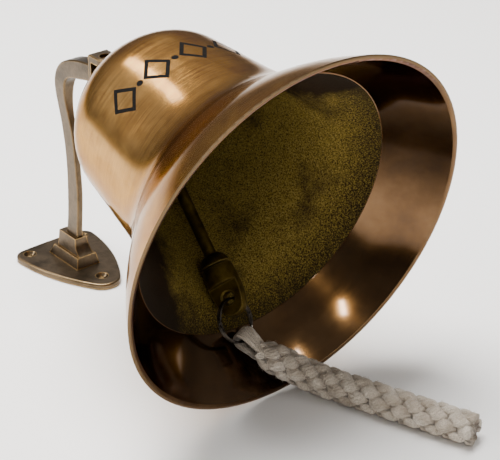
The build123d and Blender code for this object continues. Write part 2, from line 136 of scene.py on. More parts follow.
def new_material(name, **sockets):
    """A Principled material; sockets are constants, written with _ for a space."""
    material = bpy.data.materials.new(name)
    material.use_nodes = True
    tree = material.node_tree
    tree.nodes.clear()
    constants = {socket.replace("_", " "): value for socket, value in sockets.items()}
    shader = add_node(tree, "ShaderNodeBsdfPrincipled", constants, out=None)
    add_node(tree, "ShaderNodeOutputMaterial", {"Surface": shader.outputs["BSDF"]}, out=None)
    return material, tree, shader.inputs


def dress(node_names, material):
    for name in node_names:
        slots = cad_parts[name].material_slots
        if not slots:
            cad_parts[name].data.materials.append(material)
        for entry in slots:
            entry.material = material
    print(material.name, "on", ", ".join(node_names))


# %% [markdown]
# ## Antiqued bell brass
# The shell is one casting with three finishes. The outside and the flare inside the mouth are
# turned, polished and then darkened: a warm metal, with fine lines round the axis, cloudy
# patches of tarnish, and a few pits. Deeper inside, the casting skin is left as it came out of
# the sand, olive brown and grainy. The lip's outer edge is rubbed bright. One material reads
# the place and the way the surface faces, and picks the finish.

# %% Bell brass: where each finish lies
# Cast bell brass, turned and antiqued: to the eye a warm brown mirror with soft, uneven shine.
bell_brass, tree, brass_inputs = new_material(
    "antiqued_cast_brass", Specular_Tint="C4A785", Coat_Roughness=0.07, Coat_IOR=1.5
)
place = add_node(tree, "ShaderNodeTexCoord", out=None).outputs
in_bell = add_node(
    tree,
    "ShaderNodeMapping",
    {"Vector": place["Object"], "Rotation": (0, -nose_down, 0), "Location": tuple(-pin_turned)},
)
facing = add_node(
    tree,
    "ShaderNodeMapping",
    {"Vector": place["Normal"], "Rotation": (0, -nose_down, 0)},
    vector_type="NORMAL",
)
along, sideways, upward = add_node(tree, "ShaderNodeSeparateXYZ", {0: in_bell}, out=None).outputs
facing_mouth = add_node(tree, "ShaderNodeSeparateXYZ", {0: facing})
round_angle = add_node(tree, "ShaderNodeMath", {0: sideways, 1: upward}, operation="ARCTAN2")
across = add_node(tree, "ShaderNodeCombineXYZ", {1: sideways, 2: upward})
radius = add_node(tree, "ShaderNodeVectorMath", {0: across}, out="Value", operation="LENGTH")

bright_lip_radius = 123.2 * MM
faces_mouth = 0.02              # how far a surface must turn towards the mouth to be inside
inside = add_node(
    tree, "ShaderNodeMath", {0: facing_mouth, 1: faces_mouth}, operation="GREATER_THAN"
)
before = add_node(tree, "ShaderNodeMath", {0: along, 1: pin_to_flare}, operation="LESS_THAN")
deep = add_node(tree, "ShaderNodeMath", {0: inside, 1: before}, operation="MULTIPLY")
beyond = add_node(
    tree, "ShaderNodeMath", {0: radius, 1: bright_lip_radius}, operation="GREATER_THAN"
)
lip = add_node(tree, "ShaderNodeMath", {0: inside, 1: beyond}, operation="MULTIPLY")

# %% Bell brass: marks and patches
# Turning marks are 0.1 mm apart and too fine to show, so they are drawn about 0.7 mm apart.
steps_along = add_node(tree, "ShaderNodeMath", {0: along, 1: 1400.0}, operation="MULTIPLY")
steps_round = add_node(tree, "ShaderNodeMath", {0: round_angle, 1: 1.6}, operation="MULTIPLY")
turned = add_node(tree, "ShaderNodeCombineXYZ", {0: steps_along, 1: steps_round})
turning = add_node(tree, "ShaderNodeTexNoise", {"Vector": turned, "Scale": 1.0, "Detail": 3.0})
# Polishing-cloth scratches: 1 mm apart and 16 mm long, slanting across the turning marks.
cloth = add_node(
    tree,
    "ShaderNodeMapping",
    {"Vector": in_bell, "Rotation": (0.5, 0.3, 0.9), "Scale": (900, 60, 60)},
)
scratches = add_node(tree, "ShaderNodeTexNoise", {"Vector": cloth, "Scale": 1.0, "Detail": 2.0})
# Tarnish gathers in clouds 45 mm across, with 10 mm mottling in them.
clouds = add_node(
    tree, "ShaderNodeTexNoise", {"Vector": in_bell, "Scale": 22.0, "Detail": 5.0, "Roughness": 0.6}
)
mottle = add_node(
    tree, "ShaderNodeTexNoise", {"Vector": in_bell, "Scale": 95.0, "Detail": 4.0, "Roughness": 0.65}
)
# Sparse casting pits, under 1 mm, on a 7 mm grid.
pit_distance = add_node(tree, "ShaderNodeTexVoronoi", {"Vector": in_bell, "Scale": 140.0})
pit = add_node(tree, "ShaderNodeMath", {0: pit_distance, 1: 0.05}, operation="LESS_THAN")
some = add_node(tree, "ShaderNodeMath", {0: mottle, 1: 0.54}, operation="GREATER_THAN")
pits = add_node(tree, "ShaderNodeMath", {0: pit, 1: some}, operation="MULTIPLY")

# %% Bell brass: colours
polished = [(0.30, "7A5224"), (0.44, "9E733A"), (0.57, "B88D50"), (0.72, "855B2A")]
outer_colour = add_node(tree, "ShaderNodeValToRGB", {0: clouds}, stops=polished)
streak = add_node(
    tree, "ShaderNodeValToRGB", {0: turning}, stops=[(0.35, "6A4824"), (0.60, "BE9459")]
)
outer_colour = add_node(
    tree, "ShaderNodeMix", {0: 0.26, 6: outer_colour, 7: streak}, out=2, data_type="RGBA"
)
outer_colour = add_node(
    tree, "ShaderNodeMix", {0: pits, 6: outer_colour, 7: "2A180B"}, out=2, data_type="RGBA"
)
flare = [(0.30, "40290F"), (0.48, "553A1B"), (0.62, "614628"), (0.75, "483014")]
flare_colour = add_node(tree, "ShaderNodeValToRGB", {0: clouds}, stops=flare)

# Casting sand leaves a grain of 0.3 mm, drawn at 0.9 mm so that it shows.
skin = add_node(
    tree,
    "ShaderNodeTexNoise",
    {"Vector": in_bell, "Scale": 1150.0, "Detail": 2.0, "Roughness": 0.6},
)
# Broader patches of darker tone, about 40 mm across.
skin_patch = add_node(
    tree, "ShaderNodeTexNoise", {"Vector": in_bell, "Scale": 26.0, "Detail": 5.0, "Roughness": 0.65}
)
# Over the last 22 mm before the polished flare the dark specks spread.
speckled_from = pin_to_flare - 22.0 * MM
near_edge = add_node(
    tree, "ShaderNodeMapRange", {0: along, 1: speckled_from, 2: pin_to_flare, 3: 0.0, 4: 0.17}
)
speckle = add_node(tree, "ShaderNodeMath", {0: skin, 1: near_edge}, operation="SUBTRACT")
olive = [(0.28, "0C0803"), (0.40, "463A14"), (0.52, "715F25"), (0.68, "8C783A")]
skin_colour = add_node(tree, "ShaderNodeValToRGB", {0: speckle}, stops=olive)
umber = [(0.34, "080402"), (0.56, "1A0E05"), (0.74, "33200D")]
dark_skin = add_node(tree, "ShaderNodeValToRGB", {0: speckle}, stops=umber)
# Painted shade: the wall is darkened towards its upper part and its -Y side.
height_share = add_node(tree, "ShaderNodeMath", {0: upward, 1: 0.8}, operation="MULTIPLY")
upper_left = add_node(
    tree, "ShaderNodeMath", {0: sideways, 1: -0.9, 2: height_share}, operation="MULTIPLY_ADD"
)
shade_by_place = add_node(
    tree, "ShaderNodeMapRange", {0: upper_left, 1: -0.040, 2: 0.014, 3: -0.05, 4: 0.36}
)
patches_and_shade = add_node(tree, "ShaderNodeMath", {0: skin_patch, 1: shade_by_place}, operation="ADD")
dark_patches_and_shade = add_node(tree, "ShaderNodeValToRGB", {0: patches_and_shade}, stops=[(0.48, "000000"), (0.72, "FFFFFF")])
# The dark umber goes where the patches of darker tone and the painted shade lie.
skin_colour = add_node(
    tree, "ShaderNodeMix", {0: dark_patches_and_shade, 6: skin_colour, 7: dark_skin}, out=2, data_type="RGBA"
)

colour = outer_colour
for mask, finish in ((inside, flare_colour), (deep, skin_colour), (lip, "5F4A2E")):
    colour = add_node(
        tree, "ShaderNodeMix", {0: mask, 6: colour, 7: finish}, out=2, data_type="RGBA"
    )
tree.links.new(colour, brass_inputs["Base Color"])

# %% Bell brass: shine and relief
metal = add_node(tree, "ShaderNodeMapRange", {0: deep, 3: 1.0, 4: 0.12})
tree.links.new(metal, brass_inputs["Metallic"])
# A thin clear lacquer over the polished parts lays a pale reflection on the brown metal.
lacquer = add_node(tree, "ShaderNodeMapRange", {0: deep, 3: 0.45, 4: 0.0})
tree.links.new(lacquer, brass_inputs["Coat Weight"])
turned_rough = add_node(
    tree, "ShaderNodeMath", {0: turning, 1: 0.14, 2: 0.06}, operation="MULTIPLY_ADD"
)
cloudy = add_node(
    tree, "ShaderNodeMath", {0: mottle, 1: 0.13, 2: turned_rough}, operation="MULTIPLY_ADD"
)
flare_rough = add_node(tree, "ShaderNodeMath", {0: cloudy, 1: 0.75}, operation="MULTIPLY")
rough = cloudy
for mask, finish in ((inside, flare_rough), (deep, 0.80), (lip, 0.35)):
    rough = add_node(tree, "ShaderNodeMix", {0: mask, 2: rough, 3: finish})
tree.links.new(rough, brass_inputs["Roughness"])

grain = add_node(tree, "ShaderNodeMath", {0: skin, 1: deep}, operation="MULTIPLY")
marks = add_node(tree, "ShaderNodeMath", {0: turning, 1: scratches}, operation="ADD")
bare = add_node(tree, "ShaderNodeMath", {0: 1.0, 1: inside}, operation="SUBTRACT")
marks = add_node(tree, "ShaderNodeMath", {0: marks, 1: bare}, operation="MULTIPLY")
fine_relief = add_node(
    tree, "ShaderNodeBump", {"Height": marks, "Strength": 0.05, "Distance": 0.0004}
)
relief = add_node(
    tree,
    "ShaderNodeBump",
    {"Height": grain, "Strength": 0.9, "Distance": 0.0007, "Normal": fine_relief},
)
tree.links.new(relief, brass_inputs["Normal"])
dress(["bell_shell"], bell_brass)

# %% [markdown]
# ## Bracket, pin and hanger
# The arm and plate are sand cast in a yellower brass, darkened nearly grey-brown and then rubbed,
# so their raised edges show gold. A node that compares each point with its rounded neighbour
# finds the edges, and the casting's grain keeps the rubbing uneven.

# %% Bracket brass
worn_edge = 1.6 * MM            # how far from a corner the rubbing reaches
grain_depth = 0.3 * MM


def aged_brass(name, tarnish, body, rubbed, rough, grain_mm, bumpiness):
    """Aged cast brass: tarnish in patches, bright metal on the worn edges."""
    material, tree, sockets = new_material(name, Metallic=1.0)
    place = add_node(tree, "ShaderNodeTexCoord", out="Object")
    # Patches of tarnish about 20 mm across.
    patches = add_node(
        tree,
        "ShaderNodeTexNoise",
        {"Vector": place, "Scale": 45.0, "Detail": 5.0, "Roughness": 0.6},
    )
    grain = add_node(
        tree, "ShaderNodeTexNoise", {"Vector": place, "Scale": 1 / (grain_mm * MM), "Detail": 3.0}
    )
    shades = [(0.34, tarnish), (0.52, body), (0.70, tarnish)]
    metal = add_node(tree, "ShaderNodeValToRGB", {0: patches}, stops=shades)
    flat = add_node(tree, "ShaderNodeNewGeometry", out="Normal")
    rounded = add_node(tree, "ShaderNodeBevel", {"Radius": worn_edge}, samples=4)
    likeness = add_node(
        tree,
        "ShaderNodeVectorMath",
        {0: flat, 1: rounded},
        out="Value",
        operation="DOT_PRODUCT",
    )
    # One on a corner, and nothing where the flat and the rounded directions agree.
    edge = add_node(
        tree,
        "ShaderNodeMath",
        {0: likeness, 1: -7.0, 2: 7.0},
        operation="MULTIPLY_ADD",
        use_clamp=True,
    )
    uneven = add_node(tree, "ShaderNodeMath", {0: grain, 1: 0.25}, operation="ADD")
    worn = add_node(
        tree, "ShaderNodeMath", {0: edge, 1: uneven}, operation="MULTIPLY", use_clamp=True
    )
    colour = add_node(
        tree, "ShaderNodeMix", {0: worn, 6: metal, 7: rubbed}, out=2, data_type="RGBA"
    )
    dull = add_node(
        tree, "ShaderNodeMath", {0: patches, 1: 0.25, 2: rough}, operation="MULTIPLY_ADD"
    )
    relief = add_node(
        tree, "ShaderNodeBump", {"Height": grain, "Strength": bumpiness, "Distance": grain_depth}
    )
    tree.links.new(colour, sockets["Base Color"])
    tree.links.new(dull, sockets["Roughness"])
    tree.links.new(relief, sockets["Normal"])
    return material


# Darkened sand casting: a dull grey-brown that turns gold on its edges.
bracket_brass = aged_brass("darkened_cast_brass", "41372A", "5F5140", "B8935A", 0.20, 1.4, 0.25)
dress(["wall_plate", "bracket_arm", "crown_hanger"], bracket_brass)
# Turned bar: the same metal, smoother and warmer where fingers have been.
pin_brass = aged_brass("turned_pin_brass", "4E3B24", "7A5E38", "C29A5E", 0.25, 0.9, 0.15)
dress(["hinge_pin"], pin_brass)
# Never polished inside the bell: olive, matt and rough from the sand.
clapper_brass = aged_brass("olive_cast_brass", "2C210C", "564619", "8C7842", 0.40, 1.1, 0.5)
dress(["clapper_rod", "clapper_bob", "eye_nut", "crown_washer"], clapper_brass)

# %% [markdown]
# The band of engraving is filled with a dull black enamel. It is nearly matt and faintly
# mottled, so that it doesn't catch the light the way the brass round it does. The pin's clip
# is spring steel with a dark finish, rubbed paler in patches.

# %% Enamel and spring steel
enamel, tree, sockets = new_material("matt_black_enamel", Roughness=0.85, Specular_IOR_Level=0.1)
place = add_node(tree, "ShaderNodeTexCoord", out="Object")
speck = add_node(tree, "ShaderNodeTexNoise", {"Vector": place, "Scale": 700.0, "Detail": 2.0})
black = add_node(tree, "ShaderNodeValToRGB", {0: speck}, stops=[(0.4, "040302"), (0.7, "120D08")])
tree.links.new(black, sockets["Base Color"])
dress(["engraving_enamel"], enamel)


def spring_steel(name, dark, pale, patch_mm, roughest):
    """Spring steel: one grey metal, darker or paler where it has been rubbed."""
    material, tree, sockets = new_material(name, Metallic=1.0)
    place = add_node(tree, "ShaderNodeTexCoord", out="Object")
    wear = add_node(
        tree, "ShaderNodeTexNoise", {"Vector": place, "Scale": 1 / (patch_mm * MM), "Detail": 3.0}
    )
    shade = add_node(tree, "ShaderNodeValToRGB", {0: wear}, stops=[(0.35, dark), (0.65, pale)])
    dull = add_node(
        tree, "ShaderNodeMath", {0: wear, 1: 0.25, 2: roughest - 0.25}, operation="MULTIPLY_ADD"
    )
    tree.links.new(shade, sockets["Base Color"])
    tree.links.new(dull, sockets["Roughness"])
    return material


dark_steel = spring_steel("dark_spring_steel", "2A2622", "5B544C", 3.8, 0.43)
# Painted glint: the same steel in a pale colour, so that the ring's tip shows bright.
glint_steel = spring_steel("glint_spring_steel", "B9B2A6", "E8E4DC", 1.1, 0.40)
dress(["pin_clip"], dark_steel)

# %% [markdown]
# ## The bell pull
# The pull is a round plait of eight cotton cords: four wind one way, four the other, and each
# passes over one and under the next. The plait follows a smooth line, so the line is drawn
# first, as a spline through the points of the cord's route, and read back at even steps.

# %% The pull's centre line
route_mm = [
    (214.5, -6.0, 31.9),
    (221.0, 2.8, 24.9),
    (229.1, 11.3, 18.9),
    (238.3, 18.6, 14.5),
    (248.6, 25.0, 11.7),
    (260.0, 30.5, 10.3),
    (279.0, 37.6, 10.2),
    (312.0, 49.4, 10.2),
    (342.5, 60.9, 10.2),
]


def smooth_line(name, points_mm, resolution=24):
    """Points of a NURBS spline that has the given control points."""
    curve = bpy.data.curves.new(name, "CURVE")
    curve.dimensions = "3D"
    spline = curve.splines.new("NURBS")
    spline.points.add(len(points_mm) - 1)
    for knot, point in zip(spline.points, points_mm):
        knot.co = (*at_mm(*point), 1.0)
    spline.order_u = 3
    spline.use_endpoint_u = True
    curve.resolution_u = resolution
    holder = bpy.data.objects.new(name, curve)
    line_mesh = bpy.data.meshes.new_from_object(holder)
    points = [vertex.co.copy() for vertex in line_mesh.vertices]
    bpy.data.objects.remove(holder)
    bpy.data.curves.remove(curve)
    bpy.data.meshes.remove(line_mesh)
    return points


def even_steps(points, step):
    """The same line, read at even steps: (places, length)."""
    gone = [0.0]
    for a, b in zip(points, points[1:]):
        gone.append(gone[-1] + (b - a).length)
    count = max(2, round(gone[-1] / step))
    places, here = [], 0
    for i in range(count + 1):
        want = gone[-1] * i / count
        while here < len(points) - 2 and gone[here + 1] < want:
            here += 1
        span = gone[here + 1] - gone[here]
        places.append(points[here].lerp(points[here + 1], (want - gone[here]) / span))
    return places, gone[-1]


line_step = 0.8 * MM
pull_line, pull_length = even_steps(smooth_line("pull_route", route_mm), line_step)
print("bell pull:", round(pull_length * 1000, 1), "mm long,", len(pull_line), "steps")


# %% Frames along a line
def carried_frames(points, start_side):
    """A direction and two side directions at each point, carried along without twisting."""
    frames = []
    side = start_side
    for i, point in enumerate(points):
        ahead_point = points[min(i + 1, len(points) - 1)]
        behind_point = points[max(i - 1, 0)]
        direction = (ahead_point - behind_point).normalized()
        side = (side - direction * side.dot(direction)).normalized()
        frames.append((direction, side, direction.cross(side)))
    return frames


pull_frames = carried_frames(pull_line, Vector((0, 0, 1)))

# %% [markdown]
# Each cord of the plait is a plump tube. Its centre winds round the line in steps: it keeps to
# one column while it lies on top, then hurries across underneath to the next. It swings out
# where it is on top and in where it goes under. The tube is flattened a little, and swells
# where it is on top, as soft cotton does when its neighbours grip it on both sides.

# %% A tube through places with given cross-sections


def tube_mesh(bundles, sides=14):
    """Mesh from tubes: each is a list of (centre, half-width, half-height, how hidden)."""
    corners, faces, strand, shade = [], [], [], []
    for number, rings in enumerate(bundles):
        first = len(corners)
        travelled = 0.0
        for i, (centre, wide, high, hidden) in enumerate(rings):
            if i:
                travelled += (centre - rings[i - 1][0]).length
            for k in range(sides):
                angle = 2 * math.pi * k / sides
                corners.append(centre + wide * math.cos(angle) + high * math.sin(angle))
                strand.append((travelled, k / sides, number))
                # Painted shade: a corner darkens the further under its cord lies, and on the side
                # facing into the plait.
                top = max(0.0, math.sin(angle))
                shade.append(min(1.0, 0.55 * hidden + 0.55 * (1 - top)))
        for i in range(len(rings) - 1):
            for k in range(sides):
                a = first + i * sides + k
                b = first + i * sides + (k + 1) % sides
                faces.append((a, b, b + sides, a + sides))
        last = first + (len(rings) - 1) * sides
        faces.append(tuple(first + k for k in reversed(range(sides))))
        faces.append(tuple(last + k for k in range(sides)))
    mesh = bpy.data.meshes.new("tubes")
    mesh.from_pydata(corners, [], faces)
    attribute = mesh.attributes.new("fibre", "FLOAT_VECTOR", "POINT")
    for i, value in enumerate(strand):
        attribute.data[i].vector = value
    # Each corner's painted shade is kept in an attribute for the cord's material.
    crease_shade = mesh.attributes.new("crease_shade", "FLOAT", "POINT")
    for i, value in enumerate(shade):
        crease_shade.data[i].value = value
    for face in mesh.polygons:
        face.use_smooth = len(face.vertices) == 4
    mesh.update()
    return mesh


def make_object(name, mesh, material):
    piece = bpy.data.objects.new(name, mesh)
    bpy.context.scene.collection.objects.link(piece)
    mesh.materials.clear()
    mesh.materials.append(material)
    return piece


# %% Cotton cord
# Plaited cotton, hand worn: matt and soft, warm grey, with painted shade down in the creases.
cotton, tree, sockets = new_material(
    "plaited_cotton_cord",
    Roughness=0.95,
    Specular_IOR_Level=0.15,
    Sheen_Weight=0.30,
    Sheen_Roughness=0.6,
)
place = add_node(tree, "ShaderNodeTexCoord", out="Object")
fibre = add_node(tree, "ShaderNodeAttribute", out="Vector", attribute_name="fibre")
run, round_cord, number = add_node(tree, "ShaderNodeSeparateXYZ", {0: fibre}, out=None).outputs
# Yarns 1 mm thick, laid at a slant: nine round a cord, and one about every 3 mm along it.
yarns_round = add_node(tree, "ShaderNodeMath", {0: round_cord, 1: 9.0}, operation="MULTIPLY")
slant = add_node(
    tree, "ShaderNodeMath", {0: run, 1: 320.0, 2: yarns_round}, operation="MULTIPLY_ADD"
)
wobble = add_node(tree, "ShaderNodeTexNoise", {"Vector": place, "Scale": 240.0, "Detail": 3.0})
slant = add_node(tree, "ShaderNodeMath", {0: wobble, 1: 1.2, 2: slant}, operation="MULTIPLY_ADD")
turn_of_yarn = add_node(tree, "ShaderNodeMath", {0: slant, 1: 2 * math.pi}, operation="MULTIPLY")
yarn = add_node(tree, "ShaderNodeMath", {0: turn_of_yarn}, operation="SINE")
# Nap: single fibres are 0.02 mm, drawn at 0.8 mm so that the cords look soft.
fuzz = add_node(
    tree, "ShaderNodeTexNoise", {"Vector": place, "Scale": 1300.0, "Detail": 4.0, "Roughness": 0.7}
)
soil = add_node(
    tree, "ShaderNodeTexNoise", {"Vector": place, "Scale": 70.0, "Detail": 4.0, "Roughness": 0.6}
)
worn_cotton = [(0.32, "A89986"), (0.50, "CDBFAC"), (0.66, "E4D9C8")]
tone = add_node(tree, "ShaderNodeValToRGB", {0: soil}, stops=worn_cotton)
fluff = add_node(tree, "ShaderNodeMapRange", {0: fuzz, 1: 0.40, 2: 0.62, 3: 0.0, 4: 0.55})
tone = add_node(tree, "ShaderNodeMix", {0: fluff, 6: tone, 7: "8E7F6C"}, out=2, data_type="RGBA")
# Painted shade from that attribute darkens the cord in its creases and under its neighbours.
crease_shade = add_node(tree, "ShaderNodeAttribute", out="Fac", attribute_name="crease_shade")
shadow = add_node(tree, "ShaderNodeMapRange", {0: crease_shade, 1: 0.42, 2: 0.95, 3: 0.0, 4: 0.75})
tone = add_node(tree, "ShaderNodeMix", {0: shadow, 6: tone, 7: "4A3B2E"}, out=2, data_type="RGBA")
tree.links.new(tone, sockets["Base Color"])
soft_fuzz = add_node(tree, "ShaderNodeMath", {0: fuzz, 1: 1.6}, operation="MULTIPLY")
nap_height = add_node(
    tree, "ShaderNodeMath", {0: yarn, 1: 0.30, 2: soft_fuzz}, operation="MULTIPLY_ADD"
)
nap = add_node(tree, "ShaderNodeBump", {"Height": nap_height, "Strength": 0.9, "Distance": 0.0007})
tree.links.new(nap, sockets["Normal"])

# %% The plait
plait_pitch = 0.0600        # one full turn of a cord, in which it comes on top four times
cord_orbit = 0.0055         # middle of the plait to the middle of a cord
cord_swing = 0.0018         # out over, in under
cord_width = 0.0044         # half-width
cord_height = 0.0034        # half-thickness
linger, even_out = 1.25, 0.31   # how long a cord keeps to its column while it is on top
gathered_length = 0.013     # the head, over which the plait opens to its full girth
gathered_share = 0.60       # its girth at the very head
dice = random.Random(7)


def plait_rings(turn_sign, quarter):
    rings = []
    travelled = 0.0
    drift = [dice.uniform(-1, 1) for _ in range(60)]
    for i, (centre, (direction, side, other)) in enumerate(zip(pull_line, pull_frames)):
        if i:
            travelled += (centre - pull_line[i - 1]).length
        # Four beats to a turn. The cords of one hand are on top on the beat, the others off it.
        beat = travelled / plait_pitch * 4 + (0.0 if turn_sign > 0 else 0.5)
        swing_phase = 2 * math.pi * beat
        hurry = even_out * math.sin(2 * swing_phase) / (4 * math.pi)
        quarter_turns = beat - linger * math.sin(swing_phase) / (2 * math.pi) + hurry
        angle = (quarter + (0.0 if turn_sign > 0 else 0.5)) * math.pi / 2
        angle += turn_sign * quarter_turns * math.pi / 2
        wave = math.cos(swing_phase)
        over = wave + 0.55 * (1 - wave * wave)
        low = int(beat)
        uneven = drift[low % 60] * (1 - beat + low) + drift[(low + 1) % 60] * (beat - low)
        # The plait is drawn in at its head, where it is gathered on the becket.
        opened = min(1.0, travelled / gathered_length)
        gather = gathered_share + (1 - gathered_share) * opened * opened * (3 - 2 * opened)
        outward = side * math.cos(angle) + other * math.sin(angle)
        round_way = other * math.cos(angle) - side * math.sin(angle)
        orbit = (cord_orbit + cord_swing * over) * gather
        swell = 0.80 + 0.20 * min(1.0, over) + 0.03 * uneven
        rate = 1 - linger * wave + even_out * math.cos(2 * swing_phase)
        lean = turn_sign * rate * 2 * math.pi * orbit / plait_pitch
        along_cord = (direction + round_way * lean).normalized()
        wide = outward.cross(along_cord) * cord_width * swell * gather
        high = outward * cord_height * (0.84 + 0.16 * over) * gather
        # How far under the cord lies, which sets its painted shade.
        hidden = min(1.0, max(0.0, 0.5 - 0.5 * over))
        rings.append((centre + outward * (orbit + 0.00012 * uneven), wide, high, hidden))
    return rings


plait_bundles = [plait_rings(sign, quarter) for sign in (1, -1) for quarter in range(4)]
# A plain core fills the middle, so that no daylight shows between the cords.
core_radius = 5.0 * MM
core = []
for centre, (direction, side, other) in zip(pull_line, pull_frames):
    # The core lies under every cord, so it takes full painted shade.
    core.append((centre, side * core_radius, other * core_radius, 1.0))
plait_bundles.append(core)
plait = make_object("lanyard_plait", tube_mesh(plait_bundles), cotton)
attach(plait, "bell_pull")
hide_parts("lanyard")
print("plait:", len(plait.data.polygons), "faces")

# %% [markdown]
# ## Stray fibres
# Handled cotton sheds short curled fibres, and they soften its outline. Hundreds of the same
# small thing scattered on a surface are a job for Geometry Nodes: points are spread over the
# plait, one curled fibre is set on each, turned at random about the surface's own direction,
# and the copies are made real. The tree's sizes are named inputs, and its seed is fixed.

# %% A tree that scatters fibres
fibre_tree = bpy.data.node_groups.new("scatter_fibres", "GeometryNodeTree")
fibre_sizes = {"Per square metre": 52000.0, "Length": 0.0021, "Half thickness": 0.00007}
for name, kind in (
    ("Cord", "NodeSocketGeometry"),
    ("Per square metre", "NodeSocketFloat"),
    ("Length", "NodeSocketFloat"),
    ("Half thickness", "NodeSocketFloat"),
    ("Seed", "NodeSocketInt"),
    ("Finish", "NodeSocketMaterial"),
):
    fibre_tree.interface.new_socket(name, in_out="INPUT", socket_type=kind)
fibre_tree.interface.new_socket("Fibres", in_out="OUTPUT", socket_type="NodeSocketGeometry")
given = add_node(fibre_tree, "NodeGroupInput", out=None).outputs
spread = add_node(
    fibre_tree,
    "GeometryNodeDistributePointsOnFaces",
    {"Mesh": given["Cord"], "Density": given["Per square metre"], "Seed": given["Seed"]},
    out=None,
).outputs
bend, end = (
    add_node(fibre_tree, "ShaderNodeVectorMath", {0: shape, 3: given["Length"]}, operation="SCALE")
    for shape in ((0.25, 0.0, 0.42), (1.0, 0.12, 0.38))
)
curl = add_node(
    fibre_tree,
    "GeometryNodeCurveQuadraticBezier",
    {"Resolution": 3, "Start": (0, 0, 0), "Middle": bend, "End": end},
)
section = add_node(
    fibre_tree,
    "GeometryNodeCurvePrimitiveCircle",
    {"Resolution": 3, "Radius": given["Half thickness"]},
)
one_fibre = add_node(
    fibre_tree,
    "GeometryNodeCurveToMesh",
    {"Curve": curl, "Profile Curve": section, "Fill Caps": True},
)
spin = add_node(
    fibre_tree,
    "FunctionNodeRandomValue",
    {0: (-0.3, -0.3, 0.0), 1: (0.3, 0.3, 2 * math.pi), "Seed": given["Seed"]},
    data_type="FLOAT_VECTOR",
)
turned_round = add_node(
    fibre_tree,
    "FunctionNodeRotateRotation",
    {"Rotation": spread["Rotation"], "Rotate By": spin},
    rotation_space="LOCAL",
)
fibres_set = add_node(
    fibre_tree,
    "GeometryNodeInstanceOnPoints",
    {"Points": spread["Points"], "Instance": one_fibre, "Rotation": turned_round},
)
real = add_node(fibre_tree, "GeometryNodeRealizeInstances", {0: fibres_set})
finished = add_node(
    fibre_tree, "GeometryNodeSetMaterial", {"Geometry": real, "Material": given["Finish"]}
)
add_node(fibre_tree, "NodeGroupOutput", {0: finished}, out=None)

# %% Stray fibres on the plait
# One loose cotton fibre: pale and matt, with a trace of colour from the cord.
loose_fibre, tree, sockets = new_material("loose_cotton_fibre", Roughness=1.0, Sheen_Weight=0.3)
place = add_node(tree, "ShaderNodeTexCoord", out="Object")
# Tint changes every 4 mm, so that neighbouring fibres differ.
tint = add_node(tree, "ShaderNodeTexNoise", {"Vector": place, "Scale": 250.0})
pale = add_node(tree, "ShaderNodeValToRGB", {0: tint}, stops=[(0.35, "9A8B78"), (0.65, "CDBFAC")])
tree.links.new(pale, sockets["Base Color"])

grown = make_object("fibres_growing", plait.data.copy(), cotton)
modifier = grown.modifiers.new("scatter", "NODES")
modifier.node_group = fibre_tree
settings = {**fibre_sizes, "Seed": 11, "Finish": loose_fibre}
for item in fibre_tree.interface.items_tree:
    if item.in_out == "INPUT" and item.name in settings:
        modifier[item.identifier] = settings[item.name]
ready = grown.evaluated_get(bpy.context.evaluated_depsgraph_get())
fibre_mesh = bpy.data.meshes.new_from_object(ready)
bpy.data.objects.remove(grown)
stray_fibres = make_object("lanyard_stray_fibres", fibre_mesh, loose_fibre)
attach(stray_fibres, "bell_pull")
print("stray fibres:", len(fibre_mesh.polygons), "faces")

# %% [markdown]
# ## Split ring
# A split ring is one spring wire wound twice round, like a key ring. The two turns lie side by
# side, cross over once, and end in a cut tip. This one has been prised open so often that its
# near tip stands a little proud, and a painted glint of pale steel lies on that tip.

# %% The ring's own axes
tail_hole = at_mm(194.408, -10.0365, 61.091)
ring_out = Vector((0.50789, -0.14500, -0.84913)).normalized()
ring_tangent = Vector((0.12161, -0.96379, 0.23732)).normalized()
ring_normal = ring_out.cross(ring_tangent)
ring_radius = 14.0 * MM
ring_centre = tail_hole + ring_out * ring_radius


def ring_direction(degrees):
    """From the ring's centre to its wire; zero is the side away from the clapper."""
    turned = math.radians(degrees)
    return ring_out * math.cos(turned) - ring_tangent * math.sin(turned)


def eased(value, start, end):
    """Nought before start, one after end, and a smooth rise between."""
    share = min(1.0, max(0.0, (value - start) / (end - start)))
    return share * share * (3 - 2 * share)


# %% The wound wire
ring_rings = []
first_degree, last_degree = 70, 762     # two turns, less the gap at the tips
wire_radius = 0.8 * MM
crossing_starts, crossing_ends = 385, 445   # degrees, where the wire moves to its second turn
tip_degrees = 46                        # the end of the wire that has sprung away from the turn
tip_out = 2.1 * MM
tip_aside = 0.6 * MM
# How far back from the tip the painted glint runs.
glint_length = 7.5 * MM
for degree in range(first_degree, last_degree + 1, 3):
    cross_over = wire_radius * (1 - 2 * eased(degree, crossing_starts, crossing_ends))
    spring = eased(degree, last_degree - tip_degrees, last_degree)
    outward = ring_direction(degree)
    spot = ring_centre + outward * (ring_radius + tip_out * spring)
    spot += ring_normal * (cross_over - tip_aside * spring)
    ring_rings.append((spot, outward * wire_radius, ring_normal * wire_radius, 0.0))
ring_mesh = tube_mesh([ring_rings], sides=16)
wound_ring = make_object("split_ring_wire", ring_mesh, dark_steel)
ring_mesh.materials.append(glint_steel)
tip = ring_rings[-1][0]
# Painted glint: faces on the outside of the turn near the tip get the pale steel.
for face in ring_mesh.polygons:
    outside_turn = (face.center - ring_centre).length > ring_radius
    if outside_turn and (face.center - tip).length < glint_length:
        face.material_index = 1
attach(wound_ring, "bell_pull")
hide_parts("split_ring")
print("split ring:", len(ring_rings), "steps of wire")

# %% [markdown]
# ## Becket
# The becket is the loop that ties the pull to the ring: four cords laid side by side go through
# the ring, round its wire, and back into the head of the plait.

